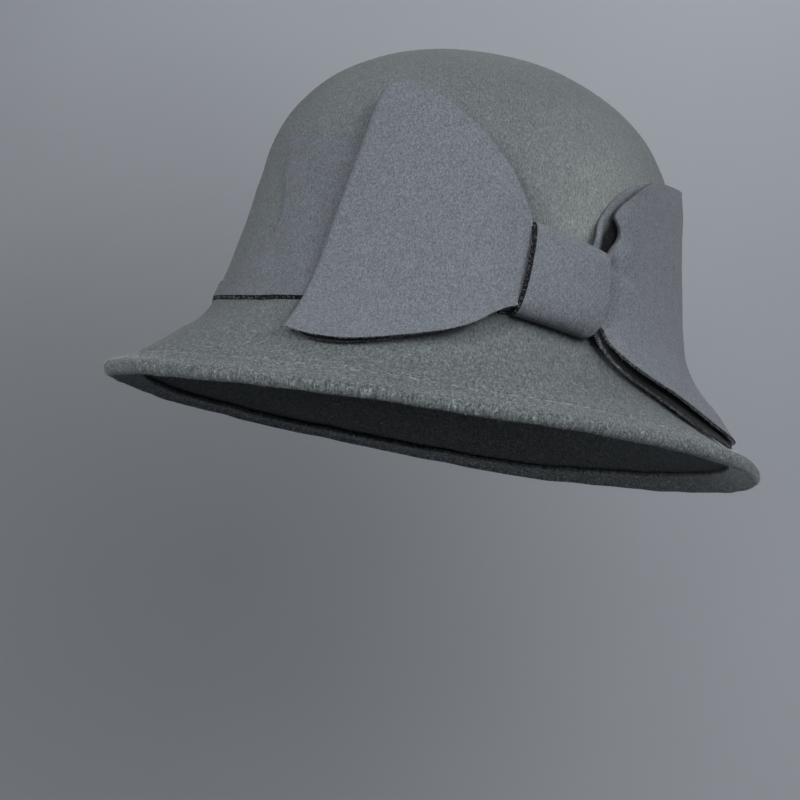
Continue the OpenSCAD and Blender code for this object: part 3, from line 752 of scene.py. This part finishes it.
def loop_grids(L, nt=60, nu=16):
    us = np.unique(np.concatenate([np.linspace(.02, .14, 6), np.linspace(.14, .30, 36), np.linspace(.30, 1, 40)]))
    ts = np.concatenate([[0, 0.004], np.linspace(0.014, 0.986, nt - 4), [0.996, 1]])
    A, B, deep = [], [], []
    for t in ts:
        def front(u):
            ripple = 0.22 * np.sin(7 * u + 5 * t + L["seed"]) * np.sin(3.1 * t + 2 * u) * ease((u - .25) / .3)
            if L["crease"]:
                u0, t0, u1, t1, deep = L["crease"]                # a shallow fold that runs out from the knot
                k = np.clip((u - u0) / (u1 - u0), -0.3, 1.4)
                off = t - (t0 + (t1 - t0) * k)
                wide = np.where(off > 0, 0.075, 0.028)
                ripple = ripple - deep * np.exp(-(off / wide) ** 2) * np.exp(-((u - u0 - 0.04) / 0.12) ** 2) * ease((u - .21) / .04)
            return (curve(L["hf"], u) + curve(L["hfb"], u) * (1 - t) ** L["pf"] + curve(L["hft"], u) * t**3 - TRIM_T / 2 + ripple)

        def under(u):
            return curve(L["hb"], u) + curve(L["hbb"], u) * (1 - t) ** L["pb"] + curve(L["hbt"], u) * t**3 + TRIM_T / 2

        def flare(u):                                             # the lower part of the fold stands off the brim
            return curve(L["hm"], u) * math.exp(-((t - 0.08) / 0.11) ** 2)
        hf1, hb1 = float(front(1.0) + flare(1.0)), float(under(1.0) + 0.25 * flare(1.0))
        rad, mid = (hf1 - hb1) / 2, (hf1 + hb1) / 2
        qc = DEG_MM * (L["fb"] + (L["ft"] - L["fb"]) * t) - rad - TRIM_T / 2
        b = np.pi * np.arange(1, nu) / nu
        q = np.concatenate([us * qc, qc + rad * np.sin(b), (us * qc)[::-1]])
        h = np.concatenate([under(us) + 0.25 * flare(us), mid - rad * np.cos(b), (front(us) + flare(us))[::-1]])
        u = np.concatenate([us, np.ones(nu - 1), us[::-1]])
        f = np.concatenate([0 * us, np.arange(1, nu) / nu, 0 * us + 1])
        d = np.stack([np.gradient(q), np.gradient(h)], -1)
        d /= np.linalg.norm(d, axis=1)[:, None]
        zb = curve(L["bot2"], u) * (1 - f) + curve(L["bot"], u) * f
        zt = curve(L["top2"], u) * (1 - f) + curve(L["top"], u) * f
        z = zb + (zt - zb) * t
        if L["curl"]:
            edge_u = np.linspace(.2, 1, 400)
            near = np.exp(-np.maximum(q - qc * np.interp(z, np.maximum.accumulate(curve(L["top"], edge_u)), edge_u), 0) / 6.5)
            q = q + curve(L["curl"], z) * near * (f > 0.999)
        for sign, grid in ((1, A), (-1, B)):
            qq, hh = q + sign * d[:, 1] * TRIM_T / 2, h - sign * d[:, 0] * TRIM_T / 2
            grid.append(at(curve(BASE, z) + hh, z, KNOT_A + L["side"] * qq / DEG_MM))
        tall = zt - zb
        # painted shade inside the loop: darker away from the mouth and the bottom edge, the front layer's inner face at
        # 0.75
        painted_hollow_shade = np.minimum(ease((tall * (1 - t) - 0.6) / 7.5), 0.92 + 0.06 * ease((tall * t - 1.0) / 3.0))
        deep.append(np.where(f < 0.5, painted_hollow_shade, 0.75))
    return hand(np.array(A)), hand(np.array(B)), np.array(deep)


def make_loop(L, name, node):
    A, B, deep = loop_grids(L)
    V, F, K = sheet_mesh(A, B, False, (1, 1, 1, 0))
    ob = new_object(name, V, F, [TRIM_FELT, TRIM_CUT], K)
    shade = ob.data.attributes.new("shade", "FLOAT", "POINT")     # painted shade: the loop's inner faces darken with how deep in the loop the cloth lies
    shade.data.foreach_set("value", np.concatenate([np.zeros(deep.size), deep.ravel()]))
    fix_normals(ob)
    bevel(ob, 0.00045, 3, 55)
    apply_all(ob)
    finish_piece(ob, [node])
    return ob


make_loop(FRONT_LOOP, "bow_loop_front", "bow_front_loop")
make_loop(REAR_LOOP, "bow_loop_rear", "bow_rear_loop")


def knot_grids(nv=34, nb=96):
    vs = np.concatenate([[0, 0.012], np.linspace(0.04, 0.96, nv - 4), [0.988, 1]])

    def ring(inset):
        rows = []
        for k in range(nb):
            b = 2 * np.pi * (k + 0.5) / nb
            cb, sb = math.cos(b), math.sin(b)
            p = .35 if cb < 0 else .62
            ch, sz = math.copysign(abs(cb) ** p, cb), math.copysign(abs(sb) ** p, sb)
            if sb < 0:                                            # the lower side is one wide roll that tucks in behind
                ch, sz = (2 * cb ** 0.85 - 1, -abs(sb) ** 0.85) if cb > 0 else (-1.0, sb)
            z0, z1 = 42 - 3 * vs + inset, 77.3 - 4.7 * vs - inset
            h0, h1 = 2.4 + inset, 12.2 + np.sin(np.pi * vs) + 1.3 * (1 - vs) ** 4 - 1.1 * vs ** 4 - inset
            h = h0 + (h1 - h0) * (1 + ch) / 2
            z = z0 + (z1 - z0) * (1 + sz) / 2
            w = ease((z - 55) / 12.0)
            reach = 10.2 - 6 * w * np.clip(1 - (h - 2.4) / 7.0, 0, 1) - 3 * (1 - w) * (1 - (h - 2.4) / 9.8) - 1.8 * np.clip((60 - z) / 20, 0, 1) ** 1.5
            start = -9.3 - 2.0 * np.clip((74 - z) / 32, 0, 1) ** 1.4 - (0.75 if inset else 0)     # a slanting cut
            rows.append(at(curve(BASE, z) + h, z, KNOT_A + start + (reach - start) * vs))
        return hand(np.array(rows))
    return ring(0.0), ring(TRIM_T + 0.3)


def make_knot():
    A, B = knot_grids()
    V, F, K = sheet_mesh(A, B, True)
    ob = new_object("bow_knot_wrap", V, F, [TRIM_FELT, SHADED_CUT], K)
    shade = ob.data.attributes.new("shade", "FLOAT", "POINT")
    painted_tuck_shade = 0.32 * ease((48 - A.reshape(-1, 3)[:, 2]) / 9)           # painted shade: the roll underneath is darkened towards its bottom
    # painted shade: the knot's inner face is darkened almost to black
    shade.data.foreach_set("value", np.concatenate([painted_tuck_shade, np.full(len(V) - len(painted_tuck_shade), 0.9)]))
    fix_normals(ob)
    bevel(ob, 0.00045, 3, 55)
    apply_all(ob)
    finish_piece(ob, ["bow_knot"])
    return ob


make_knot()


def make_bow_tacks():
    paths = []
    for k in range(-2, 3):
        pts = []
        for u in np.linspace(0, 1, 7):
            z = 71 + 0.3 * u
            pts.append(at(lining(z) - 0.18 + 0.5 * (2 * u - 1) ** 6, z, KNOT_A + 4 * k - 1.1 + 2.2 * u))
        paths.append(hand(np.array(pts)))
    V, F = tubes(paths, 0.25)
    ob = new_object("bow_tack_threads", V, F, DARK_THREAD)
    fix_normals(ob)
    return finish_piece(ob, ["bow_tacks"])


make_bow_tacks()

# =====================================================================================================
# The sweatband
# =====================================================================================================
SW_Z0, SW_H, SW_T = 38.0, 28.0, 0.8


def make_sweatband():
    az = np.arange(0, 360, 2.0)
    us = np.concatenate([[0, 0.01], np.linspace(0.04, 0.96, 14), [0.99, 1]])
    A, B = [], []
    for a in az:
        z = SW_Z0 + SW_H * us
        r = lining(z) - 0.3
        wave = 0.12 * np.sin(np.radians(a) * 11) * us
        A.append(at(r - 0.02, z, a))
        B.append(at(r - SW_T - 0.12 - wave, z, a))
    V, F, K = sheet_mesh(hand(np.array(A)), hand(np.array(B)), True, (0, 0, 0, 0))
    ob = new_object("sweatband_ribbon", V, F, RIBBON)
    fix_normals(ob)
    bevel(ob, 0.0002, 2, 55)
    apply_all(ob)
    finish_piece(ob, ["sweatband"])
    n = 72
    paths = []
    for i in range(n):
        pts = []
        for u in np.linspace(0, 1, 7):
            z = SW_Z0 + SW_H * 0.08
            h = SW_T + 0.42 + 0.12 - 0.4 * (2 * u - 1) ** 6
            pts.append(at(lining(z) - h, z, 360 / n * (i + 0.6 * u)))
        paths.append(hand(np.array(pts)))
    V, F = tubes(paths, 0.24)
    st = new_object("sweatband_stitches", V, F, DARK_THREAD)
    fix_normals(st)
    finish_piece(st, ["sweatband_stitching"])


make_sweatband()

# =====================================================================================================
# Loose fibres: short tapered hairs rooted in the felt, thickest on the rolled edge and along the cut edges
# =====================================================================================================
def fibres(ob, count, weight, length, radius, lift):
    """Closed three-sided spikes on the faces of a finished piece. weight gives each face's share by its centre,
    normal and material; lift is the angle range off the cloth."""
    me = ob.data
    n = len(me.polygons)
    area, mat = np.empty(n), np.empty(n, int)
    cen, nor = np.empty(n * 3), np.empty(n * 3)
    me.polygons.foreach_get("area", area)
    me.polygons.foreach_get("material_index", mat)
    me.polygons.foreach_get("center", cen)
    me.polygons.foreach_get("normal", nor)
    cen, nor = cen.reshape(-1, 3), nor.reshape(-1, 3)
    w = area * weight(cen, nor, mat)
    pick = RNG.choice(n, count, p=w / w.sum())
    V, F = [], []
    for k in pick:
        c = [np.array(me.vertices[i].co) for i in me.polygons[k].vertices]
        a = RNG.dirichlet(np.ones(len(c)))
        p = sum(x * y for x, y in zip(a, c))
        m = nor[k]
        down = np.array([0, 0, -1.0]) + 0.9 * RNG.normal(size=3)
        t = down - m * (down @ m)
        t /= np.linalg.norm(t)
        e = math.radians(RNG.uniform(*lift))
        d = m * math.sin(e) + t * math.cos(e)
        side = np.cross(d, m)
        side /= np.linalg.norm(side)
        up = np.cross(side, d)
        ln, r = RNG.uniform(*length), radius * RNG.uniform(0.7, 1.2)
        base = len(V)
        root = p - m * 0.00012
        V += [root + r * (math.cos(b) * side + math.sin(b) * up) for b in (0.3, 2.4, 4.5)]
        V.append(p + d * ln - t * 0.12 * ln)
        F += [(base, base + 2, base + 1), (base, base + 1, base + 3), (base + 1, base + 2, base + 3), (base + 2, base, base + 3)]
    return np.array(V) * 1000.0, F


def make_fibres():
    def on_body(c, n, m):
        r = np.hypot(c[:, 0], c[:, 1] / 1.12)
        out = (n[:, 0] * c[:, 0] + n[:, 1] * c[:, 1] + 0.04 * n[:, 2] > 0) | (c[:, 2] > 0.144)
        edge = np.exp(-(np.maximum(c[:, 2] - 0.005, 0) / 0.005) ** 2) * (r > 0.11)
        return out * (0.10 + 2.2 * edge)
    V, F = fibres(BODY, 18000, on_body, (0.0006, 0.0014), 0.00006, (8, 60))
    ob = new_object("body_felt_fibres", V, F, BODY_FIBRE)
    fix_normals(ob)
    finish_piece(ob, [])
    VV, FF = [], []
    for name, count in (("bow_loop_front", 2600), ("bow_loop_rear", 2600), ("bow_knot_wrap", 380), ("hat_band_felt", 2400)):
        V, F = fibres(bpy.data.objects[name], count, lambda c, n, m: 0.004 + 1.0 * (m == 1) + 0.6 * (m == 2), (0.0005, 0.0012), 0.000055, (10, 60))
        FF += [tuple(i + sum(len(v) for v in VV) for i in f) for f in F]
        VV.append(V)
    ob = new_object("trim_felt_fibres", np.concatenate(VV), FF, TRIM_FIBRE)
    fix_normals(ob)
    finish_piece(ob, [])


make_fibres()

# =====================================================================================================
# Stage, light and camera
# =====================================================================================================
def make_stage():
    prof = [(0, -1.1), (1.6, -1.1), (2.6, -1.09), (3.2, -1.0), (3.7, -0.75), (4.0, -0.3), (4.1, 0.3), (4.15, 1.2), (4.1, 2.6), (3.6, 3.6)]
    n = 96
    V = [(0, 0, prof[0][1])]
    F = []
    for k, (r, z) in enumerate(prof[1:]):
        for i in range(n):
            b = 2 * math.pi * i / n
            V.append((r * math.cos(b), r * math.sin(b), z))
    for i in range(n):
        F.append((0, 1 + i, 1 + (i + 1) % n))
    for k in range(len(prof) - 2):
        for i in range(n):
            j = (i + 1) % n
            F.append((1 + k * n + i, 1 + (k + 1) * n + i, 1 + (k + 1) * n + j, 1 + k * n + j))
    s = Nodes("backdrop")
    nz = s.noise(s.coords(), 1.4, 2.0)
    col = s.ramp(nz, [(0.3, (0.64, 0.672, 0.722, 1)), (0.7, (0.69, 0.722, 0.774, 1))])
    # painted shadow: the backdrop is darkened round one point, fading out over 0.79 m
    far = s.new("ShaderNodeVectorMath")
    far.operation = "DISTANCE"
    s.link(s.new("ShaderNodeTexCoord").outputs["Object"], far.inputs[0])
    far.inputs[1].default_value = (-1.733, 3.713, 0.064)
    painted_shade = s.ramp(s.math("DIVIDE", far.outputs["Value"], 0.79),
                 [(0.0, (0.63,) * 3 + (1,)), (0.25, (0.69,) * 3 + (1,)), (0.5, (0.81,) * 3 + (1,)), (0.75, (0.94,) * 3 + (1,)), (1.0, (1, 1, 1, 1))])
    s.link(s.mix("MULTIPLY", 1.0, col, painted_shade), s.bsdf.inputs["Base Color"])
    s.bsdf.inputs["Roughness"].default_value = 0.95
    s.bsdf.inputs["Specular IOR Level"].default_value = 0.05
    # the floor's faces come first; the wall lets the soft light of the sky in from all round
    for name, faces in (("floor", F[:n + 2 * n]), ("backdrop", F[n + 2 * n:])):
        used = sorted({v for f in faces for v in f})
        spot = {v: k for k, v in enumerate(used)}
        me = bpy.data.meshes.new(name)
        me.from_pydata([V[v] for v in used], [], [tuple(spot[v] for v in f) for f in faces])
        me.polygons.foreach_set("use_smooth", [True] * len(me.polygons))
        me.materials.append(s.mat)
        ob = bpy.data.objects.new(name, me)
        bpy.context.scene.collection.objects.link(ob)
        if name == "backdrop":
            ob.visible_diffuse = ob.visible_glossy = ob.visible_shadow = False


make_stage()


def area(name, az, el, dist, size, power, colour=(1, 1, 1), spread=180, aim=(0, 0, 0.06)):
    d = bpy.data.lights.new(name, "AREA")
    d.shape = "DISK"
    d.size = size
    d.energy = power
    d.color = colour
    d.spread = math.radians(spread)
    ob = bpy.data.objects.new(name, d)
    a, e = math.radians(az), math.radians(el)
    back = Vector((math.sin(a) * math.cos(e), -math.cos(a) * math.cos(e), math.sin(e)))
    ob.location = Vector(aim) + back * dist
    ob.rotation_euler = back.to_track_quat("Z", "Y").to_euler()
    ob.visible_camera = False
    bpy.context.scene.collection.objects.link(ob)
    return ob


HAT = (0, 0, 0.06)
WALL_TR, WALL_TL, WALL_BR = (-0.95, 4.0, 0.95), (-2.0, 3.6, 0.95), (-0.8, 4.0, -0.25)
TINT = (0.98, 1.0, 1.015)
LIGHTS = [
    # name, azimuth, elevation, distance, size, power, colour, spread, aim
    ("key_left", -8, 15, 2.2, 1.0, 4.6, TINT, 70, HAT),
    ("key_right", 43, 16, 2.2, 1.0, 4.2, TINT, 70, HAT),
    ("side_high", 72, 35, 2.2, 1.1, 2.4, TINT, 70, HAT),
    ("left_low", -62, -25, 2.2, 1.0, 1.3, TINT, 70, HAT),
    ("left_back", -100, 30, 2.2, 1.2, 2.0, TINT, 70, HAT),
    ("right_back", 150, 30, 2.2, 1.2, 3.4, TINT, 70, HAT),
    ("wall_right", 22, 45, 1.6, 0.9, 5.2, TINT, 120, WALL_TR),
    ("wall_left", 22, 45, 1.6, 0.9, 3.7, TINT, 120, WALL_TL),
    ("wall_low", 22, 35, 1.2, 0.7, 0.3, TINT, 100, WALL_BR),
    ("back", 202, 12, 2.2, 0.9, 3.2, TINT, 70, HAT),
]
# the rest of the round wall, for the sides and the back: these lights face outwards
for k in range(1, 6):
    b = math.radians(202 + 60 * k)
    LIGHTS.append(("wall_round_%d" % k, 22 + 60 * k, 8, 2.9, 1.2, 16, TINT, 120, (4.1 * math.sin(b), -4.1 * math.cos(b), 0.6)))
SKY = 0.03
for row in LIGHTS:
    area(*row)

world = bpy.data.worlds.new("studio")
bpy.context.scene.world = world
world.use_nodes = True
world.node_tree.nodes["Background"].inputs["Color"].default_value = (0.9, 0.94, 1.0, 1)
world.node_tree.nodes["Background"].inputs["Strength"].default_value = SKY

bpy.context.scene.view_settings.view_transform = "Standard"
bpy.context.scene.view_settings.look = "None"

AZ, EL, ROLL, DIST = 22.0, -4.5, 9.12, 1.5
PX_PER_M = 2595.0


def make_camera():
    a, e, r = math.radians(AZ), math.radians(EL), math.radians(ROLL)
    back = Vector((math.sin(a) * math.cos(e), -math.cos(a) * math.cos(e), math.sin(e)))
    fwd = -back
    right = fwd.cross(Vector((0, 0, 1))).normalized()
    up = right.cross(fwd)
    X = math.cos(r) * right + math.sin(r) * up
    Y = -math.sin(r) * right + math.cos(r) * up
    target = Vector((0, 0, 0.0131)) + right * -0.0145
    pos = target + back * DIST
    cd = bpy.data.cameras.new("camera")
    cd.sensor_fit = "HORIZONTAL"
    cd.sensor_width = 36.0
    cd.lens = PX_PER_M * DIST / 800.0 * 36.0
    cd.clip_start, cd.clip_end = 0.05, 50
    ob = bpy.data.objects.new("camera", cd)
    ob.matrix_world = Matrix(((X.x, Y.x, back.x, pos.x), (X.y, Y.y, back.y, pos.y), (X.z, Y.z, back.z, pos.z), (0, 0, 0, 1)))
    bpy.context.scene.collection.objects.link(ob)
    bpy.context.scene.camera = ob


make_camera()
